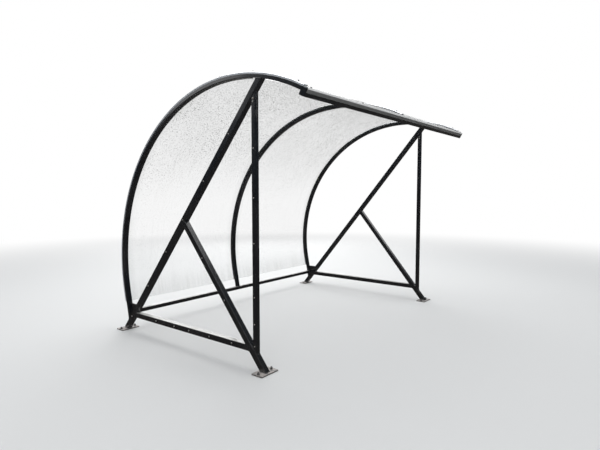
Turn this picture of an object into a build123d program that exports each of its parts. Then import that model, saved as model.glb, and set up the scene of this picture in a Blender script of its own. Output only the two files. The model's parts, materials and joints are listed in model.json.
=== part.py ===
"""Open cycle shelter: three bent steel hoops under a clear curved roof, braced end frames.

X runs along the shelter, -Y is the open front, +Z is up. The origin is on the floor, in the
middle of the shelter's length and depth. All sizes in millimetres. The shapes are drawn from
a line midway between the front and back feet, and moved onto the origin when they are saved.
"""
import math
import os

from build123d import *

os.makedirs("parts", exist_ok=True)

# Layout along the shelter
BAY = 1500.0
FRAMES = {"near": -BAY, "middle": 0.0, "far": BAY}
END_FRAMES = {"near": -BAY, "far": BAY}

# Flat tube of the hoops, square tube of the braces, legs and ties, lighter tube of the rest
HOOP_WIDTH = 50.0
HOOP_DEPTH = 30.0
FRAME_TUBE = 50.0
LIGHT_TUBE = 40.0
TUBE_WALL = 2.5
TUBE_CORNER = 4.0

# End frame: the brace runs from the back foot to the hoop above the post, and the front leg
# leans towards it at the same angle
FOOT_HALF_SPAN = 947.0
BRACE_HEEL = 15.0
POST_INSET = 87.0
POST_SETBACK = 58.0
TIE_Z = 168.0
BACK_RAIL_Z = 175.0

# Hoop: back leg leaning outwards, one long bend over the top, square-cut front end
HOOP_FOOT_INSET = 90.0
HOOP_LEAN_ANGLE = 11.3
HOOP_CENTRE_Z = 700.0
HOOP_RADIUS = 1570.0
HOOP_TIP_ANGLE = 27.5

# Corner gusset between each end hoop and its brace
GUSSET_TOP_Z = 270.0
GUSSET_THICKNESS = 6.0

# Base plates
PLATE_LENGTH = 190.0
PLATE_DEPTH = 110.0
PLATE_THICKNESS = 8.0
PLATE_CORNER = 6.0
ANCHOR_HOLE = 13.0
ANCHOR_SPACING = 150.0

# Front beam, set to the slope of the hoop ends
BEAM_DEPTH = 50.0
BEAM_HEIGHT = 60.0
BEAM_WALL = 3.0
BEAM_CORNER = 4.0
BEAM_OVERHANG = 10.0
CAP_THICKNESS = 3.0

# Clear roof sheets, starting this far up the hoop's leg
SHEET = 5.0
SHEET_START = 290.0
SHEET_GAP = 4.0
SHEET_EDGE_INSET = 3.0

# Aluminium cover strips that hold the sheets down on the hoops
STRIP_WIDTH = 50.0
STRIP_EDGE_HEIGHT = 6.0
STRIP_HEIGHT = 12.0
STRIP_CROWN_WIDTH = 30.0

# Aluminium angle along the front edge
FRONT_ANGLE_DROP = 35.0
FRONT_ANGLE_LAP = 30.0
FRONT_ANGLE_THICKNESS = 3.0
FRONT_ANGLE_INSET = 5.0

# How far a tube runs past a joint before it is cut, and how far the cutting blocks reach
RUN_ON = 120.0
CUTTER_REACH = 400.0

# Places worked out from the sizes above
LEAN = math.radians(HOOP_LEAN_ANGLE)
TIP = math.radians(HOOP_TIP_ANGLE)
PLATE_Y = {"back": FOOT_HALF_SPAN, "front": -FOOT_HALF_SPAN}
HOOP_FOOT_Y = FOOT_HALF_SPAN - HOOP_FOOT_INSET
HOOP_INNER = HOOP_RADIUS - HOOP_DEPTH / 2
HOOP_OUTER = HOOP_RADIUS + HOOP_DEPTH / 2
BEND_START = (HOOP_CENTRE_Z - HOOP_RADIUS * math.sin(LEAN)) / math.cos(LEAN)
HOOP_CENTRE_Y = HOOP_FOOT_Y + BEND_START * math.sin(LEAN) - HOOP_RADIUS * math.cos(LEAN)
HOOP_CENTRE = (HOOP_CENTRE_Y, HOOP_CENTRE_Z)
HOOP_SWEEP = 90 + HOOP_LEAN_ANGLE + HOOP_TIP_ANGLE
POST_Y = POST_INSET - FOOT_HALF_SPAN
POST_FRONT = POST_Y - LIGHT_TUBE / 2
BRACE_END_Y = POST_Y - POST_SETBACK
BRACE_END_Z = HOOP_CENTRE_Z + math.sqrt(HOOP_INNER**2 - (BRACE_END_Y - HOOP_CENTRE_Y) ** 2)
BRACE = math.atan2(BRACE_END_Z - PLATE_THICKNESS, FOOT_HALF_SPAN - BRACE_END_Y)
HALF_RISE = FRAME_TUBE / 2 / math.cos(BRACE)
SHEET_INNER_OFFSET = HOOP_DEPTH / 2
SHEET_OUTER_OFFSET = HOOP_DEPTH / 2 + SHEET
SHEET_OUTER = HOOP_OUTER + SHEET
ALONG_SLOPE = (-math.cos(TIP), -math.sin(TIP))
DOWN_FROM_SLOPE = (math.sin(TIP), -math.cos(TIP))


def leg_point(offset, along):
    """Point (y, z) this far outside the hoop's leg centre line and this far up along it."""
    return (
        HOOP_FOOT_Y + along * math.sin(LEAN) + offset * math.cos(LEAN),
        along * math.cos(LEAN) - offset * math.sin(LEAN),
    )


def hoop_point(radius, degrees_past_top):
    """Point (y, z) on the bend at this radius, measured forward from its highest point."""
    a = math.radians(degrees_past_top)
    return (HOOP_CENTRE_Y - radius * math.sin(a), HOOP_CENTRE_Z + radius * math.cos(a))


def from_beam(forward, down):
    """Point (y, z) measured from the beam's upper back edge, square to the roof's slope."""
    y, z = hoop_point(HOOP_OUTER, HOOP_TIP_ANGLE)
    return (
        y + ALONG_SLOPE[0] * forward + DOWN_FROM_SLOPE[0] * down,
        z + ALONG_SLOPE[1] * forward + DOWN_FROM_SLOPE[1] * down,
    )


# The middle of the shelter's depth, between its front edge and its back edge
FRONT_EDGE_Y = from_beam(BEAM_DEPTH + FRONT_ANGLE_THICKNESS, -SHEET - FRONT_ANGLE_THICKNESS)[0]
BACK_EDGE_Y = max(PLATE_Y["back"] + PLATE_DEPTH / 2, HOOP_CENTRE_Y + SHEET_OUTER + STRIP_HEIGHT)
ORIGIN_Y = (FRONT_EDGE_Y + BACK_EDGE_Y) / 2


def save(part, name):
    """Move one solid onto the shelter's origin, label it and write it to its own file."""
    placed = part.moved(Location((0, -ORIGIN_Y, 0)))
    placed.label = name
    export_step(placed, f"parts/{name}.step")


def side_plane(x):
    """Plane across the shelter at x, drawn in (y, z)."""
    return Plane(origin=(x, 0, 0), x_dir=(0, 1, 0), z_dir=(1, 0, 0))


def brace_z(y):
    """Height of the diagonal brace's centre line at this depth."""
    return PLATE_THICKNESS + (FOOT_HALF_SPAN - y) * math.tan(BRACE)


def leg_z(y):
    """Height of the front leg's centre line at this depth."""
    return PLATE_THICKNESS + (FOOT_HALF_SPAN + y) * math.tan(BRACE)


def brace_top_y(z):
    """Depth at which the diagonal brace's upper face is this high."""
    return FOOT_HALF_SPAN - (z - PLATE_THICKNESS - HALF_RISE) / math.tan(BRACE)


def hoop_inner_y(z):
    """Depth at which the inner face of the hoop's straight leg is this high."""
    return HOOP_FOOT_Y + z * math.tan(LEAN) - HOOP_DEPTH / 2 / math.cos(LEAN)


def tube_plane(x, start, end):
    """Plane square to a tube that runs from start to end, both (y, z), in the frame at x."""
    return Plane(origin=(x, *start), x_dir=(1, 0, 0), z_dir=(0, end[0] - start[0], end[1] - start[1]))


def tube_section(width, depth):
    """Draw the section of a rectangular tube in the open sketch."""
    RectangleRounded(width, depth, TUBE_CORNER)
    Rectangle(width - 2 * TUBE_WALL, depth - 2 * TUBE_WALL, mode=Mode.SUBTRACT)


def cut_below(x, y, z):
    """Trim the open part level at this height, around this place."""
    with Locations((x, y, z)):
        Box(
            CUTTER_REACH, CUTTER_REACH, CUTTER_REACH,
            align=(Align.CENTER, Align.CENTER, Align.MAX), mode=Mode.SUBTRACT,
        )


# Ends of the sloping tubes, run on past their joints
brace_foot = (FOOT_HALF_SPAN + RUN_ON, brace_z(FOOT_HALF_SPAN + RUN_ON))
brace_middle = (0.0, brace_z(0.0))
brace_head_y = BRACE_END_Y - RUN_ON * math.cos(BRACE)
brace_head = (brace_head_y, brace_z(brace_head_y))
leg_foot = (-FOOT_HALF_SPAN - RUN_ON, leg_z(-FOOT_HALF_SPAN - RUN_ON))
leg_head = (0.0, leg_z(0.0))

# Space on and outside the hoop's inner face, used to cut the brace to the hoop
with BuildPart() as over_hoop:
    with BuildSketch(side_plane(0)):
        with Locations(HOOP_CENTRE):
            Circle(HOOP_OUTER + CUTTER_REACH)
            Circle(HOOP_INNER, mode=Mode.SUBTRACT)
            Rectangle(4 * HOOP_OUTER, 2 * HOOP_OUTER, align=(Align.CENTER, Align.MAX), mode=Mode.SUBTRACT)
    extrude(amount=FRAME_TUBE, both=True)

# Space on and above the brace's lower face, used to cut what ends under the brace
with BuildPart() as over_brace:
    with BuildSketch(side_plane(0)):
        with BuildLine():
            Polyline(
                (brace_head[0], brace_head[1] - HALF_RISE),
                (brace_foot[0], brace_foot[1] - HALF_RISE),
                (brace_foot[0], brace_head[1] - HALF_RISE),
                close=True,
            )
        make_face()
    extrude(amount=FRAME_TUBE, both=True)

# Space on and under the upper face of the brace's lower half, used to cut the hoop's foot to it
with BuildPart() as under_brace:
    with BuildSketch(side_plane(0)):
        with BuildLine():
            Polyline(
                (brace_middle[0], brace_middle[1] + HALF_RISE),
                (brace_foot[0], brace_foot[1] + HALF_RISE),
                (brace_middle[0], brace_foot[1] + HALF_RISE),
                close=True,
            )
        make_face()
    extrude(amount=FRAME_TUBE, both=True)

# Space on and under the front leg's upper face, used to cut the post to the leg
with BuildPart() as under_leg:
    with BuildSketch(side_plane(0)):
        with BuildLine():
            Polyline(
                (leg_foot[0], leg_foot[1] + HALF_RISE),
                (leg_head[0], leg_head[1] + HALF_RISE),
                (leg_head[0], leg_foot[1] + HALF_RISE),
                close=True,
            )
        make_face()
    extrude(amount=FRAME_TUBE, both=True)

# Space on and in front of the front leg's lower face, used to cut the bottom tie to the leg
with BuildPart() as before_leg:
    with BuildSketch(side_plane(0)):
        with BuildLine():
            Polyline(
                (leg_foot[0], leg_foot[1] - HALF_RISE),
                (leg_head[0], leg_head[1] - HALF_RISE),
                (leg_foot[0], leg_head[1] - HALF_RISE),
                close=True,
            )
        make_face()
    extrude(amount=FRAME_TUBE, both=True)

# Hoops: the end ones stand on their braces, the middle one on the back rail
for place, x in FRAMES.items():
    with BuildPart() as hoop:
        with BuildLine(side_plane(x)) as bend:
            Line(leg_point(0, 0), leg_point(0, BEND_START))
            CenterArc(HOOP_CENTRE, HOOP_RADIUS, -HOOP_LEAN_ANGLE, HOOP_SWEEP)
        with BuildSketch(tube_plane(x, leg_point(0, 0), leg_point(0, BEND_START))):
            tube_section(HOOP_WIDTH, HOOP_DEPTH)
        sweep(path=bend.line)
        if place in END_FRAMES:
            add(under_brace.part.moved(Location((x, 0, 0))), mode=Mode.SUBTRACT)
        else:
            cut_below(x, HOOP_FOOT_Y, BACK_RAIL_Z + LIGHT_TUBE / 2)
    save(hoop.part, f"{place}_hoop")

for place, x in END_FRAMES.items():
    at_frame = Location((x, 0, 0))

    # Diagonal brace: from the back base plate up to the underside of the hoop
    with BuildPart() as brace:
        with BuildSketch(tube_plane(x, brace_foot, brace_head)):
            tube_section(FRAME_TUBE, FRAME_TUBE)
        extrude(amount=math.dist(brace_foot, brace_head))
        add(over_hoop.part.moved(at_frame), mode=Mode.SUBTRACT)
        with Locations((x, FOOT_HALF_SPAN + BRACE_HEEL, 0)):
            Box(
                CUTTER_REACH, CUTTER_REACH, 2 * CUTTER_REACH,
                align=(Align.CENTER, Align.MIN, Align.CENTER), mode=Mode.SUBTRACT,
            )
        cut_below(x, FOOT_HALF_SPAN, PLATE_THICKNESS)
    save(brace.part, f"{place}_diagonal_brace")

    # Corner gusset: plate welded between the hoop's inner face and the brace's upper face
    corner_z = (FOOT_HALF_SPAN - hoop_inner_y(0) + (PLATE_THICKNESS + HALF_RISE) / math.tan(BRACE)) / (
        math.tan(LEAN) + 1 / math.tan(BRACE)
    )
    with BuildPart() as gusset:
        with BuildSketch(side_plane(x)):
            with BuildLine():
                Polyline(
                    (hoop_inner_y(corner_z), corner_z),
                    (hoop_inner_y(GUSSET_TOP_Z), GUSSET_TOP_Z),
                    (brace_top_y(GUSSET_TOP_Z), GUSSET_TOP_Z),
                    close=True,
                )
            make_face()
        extrude(amount=GUSSET_THICKNESS / 2, both=True)
    save(gusset.part, f"{place}_back_gusset")

    # Front leg: from the front base plate up to the underside of the brace
    with BuildPart() as leg:
        with BuildSketch(tube_plane(x, leg_foot, leg_head)):
            tube_section(FRAME_TUBE, FRAME_TUBE)
        extrude(amount=math.dist(leg_foot, leg_head))
        add(over_brace.part.moved(at_frame), mode=Mode.SUBTRACT)
        cut_below(x, -FOOT_HALF_SPAN, PLATE_THICKNESS)
    save(leg.part, f"{place}_front_leg")

    # Front post: upright, from the leg to the underside of the brace
    post_foot = (POST_Y, leg_z(POST_FRONT))
    post_head = (POST_Y, brace_z(POST_Y))
    with BuildPart() as post:
        with BuildSketch(tube_plane(x, post_foot, post_head)):
            tube_section(LIGHT_TUBE, LIGHT_TUBE)
        extrude(amount=math.dist(post_foot, post_head))
        add(over_brace.part.moved(at_frame), mode=Mode.SUBTRACT)
        add(under_leg.part.moved(at_frame), mode=Mode.SUBTRACT)
    save(post.part, f"{place}_front_post")

    # Bottom tie: level, from the brace to the front leg
    tie_front = (-FOOT_HALF_SPAN, TIE_Z)
    tie_back = (FOOT_HALF_SPAN, TIE_Z)
    with BuildPart() as tie:
        with BuildSketch(tube_plane(x, tie_front, tie_back)):
            tube_section(FRAME_TUBE, FRAME_TUBE)
        extrude(amount=math.dist(tie_front, tie_back))
        add(before_leg.part.moved(at_frame), mode=Mode.SUBTRACT)
        add(over_brace.part.moved(at_frame), mode=Mode.SUBTRACT)
    save(tie.part, f"{place}_bottom_tie")

    # Base plates with two anchor holes each
    for side, plate_y in PLATE_Y.items():
        with BuildPart() as plate:
            with BuildSketch(Plane.XY):
                with Locations((x, plate_y)):
                    RectangleRounded(PLATE_LENGTH, PLATE_DEPTH, PLATE_CORNER)
                    with GridLocations(ANCHOR_SPACING, 0, 2, 1):
                        Circle(ANCHOR_HOLE / 2, mode=Mode.SUBTRACT)
            extrude(amount=PLATE_THICKNESS)
        save(plate.part, f"{place}_{side}_base_plate")

# Back rail: level, between the end hoops, carrying the middle hoop
rail_start = -BAY + HOOP_WIDTH / 2
rail_y = HOOP_FOOT_Y + BACK_RAIL_Z * math.tan(LEAN)
with BuildPart() as back_rail:
    with BuildSketch(Plane(origin=(rail_start, rail_y, BACK_RAIL_Z), x_dir=(0, 1, 0), z_dir=(1, 0, 0))):
        tube_section(LIGHT_TUBE, LIGHT_TUBE)
    extrude(amount=-2 * rail_start)
save(back_rail.part, "back_rail")

# Front beam across the hoop ends, its top level with the tops of the hoops
beam_half = BAY + HOOP_WIDTH / 2 + BEAM_OVERHANG
beam_centre = from_beam(BEAM_DEPTH / 2, BEAM_HEIGHT / 2)
up_the_slope = (0, -ALONG_SLOPE[0], -ALONG_SLOPE[1])
with BuildPart() as beam:
    with BuildSketch(Plane(origin=(-beam_half, *beam_centre), x_dir=up_the_slope, z_dir=(1, 0, 0))):
        RectangleRounded(BEAM_DEPTH, BEAM_HEIGHT, BEAM_CORNER)
        Rectangle(BEAM_DEPTH - 2 * BEAM_WALL, BEAM_HEIGHT - 2 * BEAM_WALL, mode=Mode.SUBTRACT)
    extrude(amount=2 * beam_half)
save(beam.part, "front_beam")

# Flat caps on the beam's two ends
for place, cap_x in (("near", -beam_half - CAP_THICKNESS), ("far", beam_half)):
    with BuildPart() as cap:
        with BuildSketch(Plane(origin=(cap_x, *beam_centre), x_dir=up_the_slope, z_dir=(1, 0, 0))):
            RectangleRounded(BEAM_DEPTH, BEAM_HEIGHT, BEAM_CORNER)
        extrude(amount=CAP_THICKNESS)
    save(cap.part, f"{place}_beam_cap")

# Roof sheets: one bent sheet a bay, from above the back rail to the front of the beam
SHEET_ENDS = {
    "near": (-BAY - HOOP_WIDTH / 2 + SHEET_EDGE_INSET, -SHEET_GAP / 2),
    "far": (SHEET_GAP / 2, BAY + HOOP_WIDTH / 2 - SHEET_EDGE_INSET),
}
sheet_front_inner = from_beam(BEAM_DEPTH, 0)
sheet_front_outer = from_beam(BEAM_DEPTH, -SHEET)
for place, (x0, x1) in SHEET_ENDS.items():
    with BuildPart() as sheet:
        with BuildSketch(side_plane(x0)):
            with BuildLine():
                Line(leg_point(SHEET_INNER_OFFSET, SHEET_START), leg_point(SHEET_INNER_OFFSET, BEND_START))
                CenterArc(HOOP_CENTRE, HOOP_OUTER, -HOOP_LEAN_ANGLE, HOOP_SWEEP)
                Line(hoop_point(HOOP_OUTER, HOOP_TIP_ANGLE), sheet_front_inner)
                Line(sheet_front_inner, sheet_front_outer)
                Line(sheet_front_outer, hoop_point(SHEET_OUTER, HOOP_TIP_ANGLE))
                CenterArc(HOOP_CENTRE, SHEET_OUTER, 90 + HOOP_TIP_ANGLE, -HOOP_SWEEP)
                Line(leg_point(SHEET_OUTER_OFFSET, BEND_START), leg_point(SHEET_OUTER_OFFSET, SHEET_START))
                Line(leg_point(SHEET_OUTER_OFFSET, SHEET_START), leg_point(SHEET_INNER_OFFSET, SHEET_START))
            make_face()
        extrude(amount=x1 - x0)
    save(sheet.part, f"{place}_roof_sheet")

# Cover strips: low crowned aluminium bars bent over the sheets along each hoop
strip_foot = leg_point(SHEET_OUTER_OFFSET, SHEET_START)
strip_bend = leg_point(SHEET_OUTER_OFFSET, BEND_START)
for place, x in FRAMES.items():
    with BuildPart() as strip:
        with BuildLine(side_plane(x)) as strip_line:
            Line(strip_foot, strip_bend)
            CenterArc(HOOP_CENTRE, SHEET_OUTER, -HOOP_LEAN_ANGLE, HOOP_SWEEP)
        with BuildSketch(tube_plane(x, strip_foot, strip_bend)):
            with BuildLine():
                Polyline(
                    (-STRIP_WIDTH / 2, 0),
                    (STRIP_WIDTH / 2, 0),
                    (STRIP_WIDTH / 2, STRIP_EDGE_HEIGHT),
                    (STRIP_CROWN_WIDTH / 2, STRIP_HEIGHT),
                    (-STRIP_CROWN_WIDTH / 2, STRIP_HEIGHT),
                    (-STRIP_WIDTH / 2, STRIP_EDGE_HEIGHT),
                    close=True,
                )
            make_face()
        sweep(path=strip_line.line)
    save(strip.part, f"{place}_cover_strip")

# Front angle: aluminium angle lapping the sheets' front edge and the face of the beam
with BuildPart() as front_angle:
    with BuildSketch(side_plane(-beam_half + FRONT_ANGLE_INSET)):
        with BuildLine():
            Polyline(
                from_beam(BEAM_DEPTH - FRONT_ANGLE_LAP, -SHEET),
                from_beam(BEAM_DEPTH, -SHEET),
                from_beam(BEAM_DEPTH, FRONT_ANGLE_DROP - SHEET),
                from_beam(BEAM_DEPTH + FRONT_ANGLE_THICKNESS, FRONT_ANGLE_DROP - SHEET),
                from_beam(BEAM_DEPTH + FRONT_ANGLE_THICKNESS, -SHEET - FRONT_ANGLE_THICKNESS),
                from_beam(BEAM_DEPTH - FRONT_ANGLE_LAP, -SHEET - FRONT_ANGLE_THICKNESS),
                close=True,
            )
        make_face()
    extrude(amount=2 * (beam_half - FRONT_ANGLE_INSET))
save(front_angle.part, "front_edge_angle")
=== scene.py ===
"""Looks of an open cycle shelter: paint, clear sheet, aluminium, fixings and dirt.

Every size is in metres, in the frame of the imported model: X runs along the shelter, -Y is the
open front, +Z is up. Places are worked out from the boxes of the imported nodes.
"""
from __future__ import annotations

import json
import logging
import math
import random
from dataclasses import dataclass, field
from enum import Enum
from typing import Callable, NamedTuple, Optional, Sequence, Union

import bpy
from mathutils import Matrix, Vector

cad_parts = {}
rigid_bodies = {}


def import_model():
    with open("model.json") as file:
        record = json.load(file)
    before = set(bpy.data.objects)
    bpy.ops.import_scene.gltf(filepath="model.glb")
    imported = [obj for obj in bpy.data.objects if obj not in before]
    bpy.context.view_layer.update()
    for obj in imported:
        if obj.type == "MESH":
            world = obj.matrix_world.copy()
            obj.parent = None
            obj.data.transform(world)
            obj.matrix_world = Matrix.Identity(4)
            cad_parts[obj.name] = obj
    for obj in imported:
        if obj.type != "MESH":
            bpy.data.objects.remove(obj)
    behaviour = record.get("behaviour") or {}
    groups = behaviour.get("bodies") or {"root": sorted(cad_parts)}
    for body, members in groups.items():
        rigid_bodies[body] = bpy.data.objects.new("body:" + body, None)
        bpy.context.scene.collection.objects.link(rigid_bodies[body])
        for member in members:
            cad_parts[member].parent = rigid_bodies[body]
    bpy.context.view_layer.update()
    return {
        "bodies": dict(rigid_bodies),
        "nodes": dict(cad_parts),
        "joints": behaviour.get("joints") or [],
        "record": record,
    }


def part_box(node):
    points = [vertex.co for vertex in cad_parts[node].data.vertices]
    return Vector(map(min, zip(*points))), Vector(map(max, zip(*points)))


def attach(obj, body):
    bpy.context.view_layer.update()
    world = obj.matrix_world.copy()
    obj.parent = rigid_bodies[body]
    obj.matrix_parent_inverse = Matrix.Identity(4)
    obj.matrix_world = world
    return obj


log = logging.getLogger("cycle_shelter")

Number = Union[float, int, "Value"]
Triple = tuple[float, float, float]
Colour = tuple[float, float, float]
Profile = tuple[tuple[float, float], ...]

WHITE: Colour = (1.0, 1.0, 1.0)
QUARTER_TURN = 90
SOFT_EDGE = 35.0
ALONG = Vector((1, 0, 0))
BACK = Vector((0, 1, 0))
UP = Vector((0, 0, 1))

# A Mix node's colour sockets, by number because its other types share their names.
MIX_FIRST, MIX_SECOND, MIX_RESULT = 6, 7, 2
# How far a spot strays in its cell, how much of it is solid, and how sharply chance cuts it off.
SPOT_SCATTER, SPOT_CORE, SPOT_CUT = 0.9, 0.45, 0.8


class Span(NamedTuple):
    """The values at which a mask is 0 and 1. The end may be less than the start."""

    start: float
    end: float


class Grain(NamedTuple):
    """A noise: its cells a metre, its finer layers and the strength of those layers."""

    scale: float
    detail: float
    roughness: float = 0.55


class Dots(NamedTuple):
    """Scattered dots: cells a metre, radius as a share of a cell, share of cells with a dot."""

    scale: float
    size: float
    share: float


class Relief(NamedTuple):
    """A bump: how high its tops stand, in metres, and the share of the effect."""

    depth: float
    strength: float


class Amount(NamedTuple):
    """An amount that a mask adds to: what there is everywhere, and what the full mask adds."""

    everywhere: float
    added: float

    def at(self, mask: Value) -> Value:
        """Return the amount under a mask."""
        return self.everywhere + self.added * mask


class Value:
    """A shader value. Arithmetic on it adds the Math nodes it needs."""

    def __init__(self, recipe: Recipe, socket: bpy.types.NodeSocket) -> None:
        """Wrap one output socket.

        Args:
            recipe: The material recipe that the socket belongs to.
            socket: The output socket that carries the value.
        """
        self.recipe = recipe
        self.socket = socket

    def _math(self, operation: str, *values: Number) -> Value:
        """Return a Math node's result on these values."""
        return self.recipe.node(
            "ShaderNodeMath", {"operation": operation}, dict(enumerate(values))
        )

    def __add__(self, other: Number) -> Value:
        """Return self + other."""
        return self._math("ADD", self, other)

    def __radd__(self, other: Number) -> Value:
        """Return other + self."""
        return self._math("ADD", other, self)

    def __sub__(self, other: Number) -> Value:
        """Return self - other."""
        return self._math("SUBTRACT", self, other)

    def __rsub__(self, other: Number) -> Value:
        """Return other - self."""
        return self._math("SUBTRACT", other, self)

    def __mul__(self, other: Number) -> Value:
        """Return self * other."""
        return self._math("MULTIPLY", self, other)

    def __rmul__(self, other: Number) -> Value:
        """Return other * self."""
        return self._math("MULTIPLY", other, self)

    def __pow__(self, other: Number) -> Value:
        """Return self raised to other."""
        return self._math("POWER", self, other)

    def size(self) -> Value:
        """Return self without its sign."""
        return self._math("ABSOLUTE", self)

    def larger(self, other: Number) -> Value:
        """Return the larger of self and other."""
        return self._math("MAXIMUM", self, other)

    def ramp(self, span: Span) -> Value:
        """Return a mask that eases from 0 to 1 and is held beyond both.

        Args:
            span: The values that give 0 and 1.

        Returns:
            The mask.
        """
        settings = {"interpolation_type": "SMOOTHSTEP", "clamp": True}
        ends = {"From Min": min(span), "From Max": max(span)}
        rising = self.recipe.node("ShaderNodeMapRange", settings, {"Value": self, **ends})
        return rising if span.start <= span.end else 1 - rising


class Recipe:
    """One material's nodes, written as expressions."""

    def __init__(self, name: Optional[str], tree: Optional[bpy.types.NodeTree] = None) -> None:
        """Start with no nodes, in a new material or in the tree given.

        Args:
            name: The new material's name, or None where a tree is given.
            tree: The node tree of something that isn't a material.
        """
        self.material = None if tree else bpy.data.materials.new(name)
        if self.material:
            self.material.use_nodes = True
        self.tree = tree or self.material.node_tree
        self.tree.nodes.clear()

    def add(self, kind: str, settings: dict, inputs: dict) -> bpy.types.Node:
        """Add one node.

        Args:
            kind: The node's type name.
            settings: The node's own properties, set before its sockets.
            inputs: Socket name or index to a number, a colour, a vector or a Value.

        Returns:
            The node.
        """
        made = self.tree.nodes.new(kind)
        for key, setting in settings.items():
            setattr(made, key, setting)
        for key, value in inputs.items():
            if isinstance(value, Value):
                self.tree.links.new(value.socket, made.inputs[key])
            else:
                made.inputs[key].default_value = value
        return made

    def node(
        self,
        kind: str,
        settings: Optional[dict] = None,
        inputs: Optional[dict] = None,
        output: Union[int, str] = 0,
    ) -> Value:
        """Return one output of a new node, chosen by name or index."""
        return Value(self, self.add(kind, settings or {}, inputs or {}).outputs[output])

    def place(self, stretch: Triple = (1.0, 1.0, 1.0)) -> Value:
        """Return the point on the object in metres, with each axis multiplied by stretch."""
        point = self.node("ShaderNodeTexCoord", output="Object")
        return self.node("ShaderNodeVectorMath", {"operation": "MULTIPLY"}, {0: point, 1: stretch})

    def axis(self, vector: Value, name: str) -> Value:
        """Return one component of a vector, by its name X, Y or Z."""
        return self.node("ShaderNodeSeparateXYZ", {}, {0: vector}, name)

    def facing(self, name: str) -> Value:
        """Return one component of the surface's own normal, by its name X, Y or Z."""
        return self.axis(self.node("ShaderNodeNewGeometry", output="True Normal"), name)

    def noise(self, point: Value, grain: Grain) -> Value:
        """Return cloudy noise of this grain, from 0 to 1."""
        layers = {"Detail": grain.detail, "Roughness": grain.roughness}
        return self.node(
            "ShaderNodeTexNoise", {}, {"Vector": point, "Scale": grain.scale, **layers}
        )

    def spots(self, point: Value, dots: Dots) -> Value:
        """Return scattered round spots.

        Args:
            point: Where the spots are read.
            dots: How many and how large they are.

        Returns:
            A mask, 1 in each spot and 0 between them.
        """
        cell = {"Vector": point, "Scale": dots.scale, "Randomness": SPOT_SCATTER}
        distance = self.node("ShaderNodeTexVoronoi", {}, cell, "Distance")
        chance = self.axis(self.node("ShaderNodeTexVoronoi", {}, cell, "Color"), "X")
        disc = distance.ramp(Span(dots.size, dots.size * SPOT_CORE))
        return disc * chance.ramp(Span(dots.share, dots.share * SPOT_CUT))

    def blend(
        self, share: Number, first: Union[Colour, Value], second: Union[Colour, Value]
    ) -> Value:
        """Return a colour between two others.

        Args:
            share: The second colour's share, 0 to 1.
            first: The colour at 0.
            second: The colour at 1.

        Returns:
            The blended colour.
        """
        sockets = {
            socket: colour if isinstance(colour, Value) else (*colour, 1.0)
            for socket, colour in ((MIX_FIRST, first), (MIX_SECOND, second))
        }
        settings = {"data_type": "RGBA", "clamp_factor": True}
        return self.node("ShaderNodeMix", settings, {0: share, **sockets}, MIX_RESULT)

    def bumped(self, height: Value, relief: Relief) -> Value:
        """Return a normal bent by a height map from 0 to 1."""
        sockets = {"Height": height, "Distance": relief.depth, "Strength": relief.strength}
        return self.node("ShaderNodeBump", {}, sockets)

    def surface(self, sockets: dict) -> Value:
        """Return a Principled shader with these sockets."""
        return self.node("ShaderNodeBsdfPrincipled", {}, sockets)

    def finish(self, shader: Value) -> bpy.types.Material:
        """Send a shader to the material's output and return the material."""
        self.add("ShaderNodeOutputMaterial", {}, {"Surface": shader})
        return self.material


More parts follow.
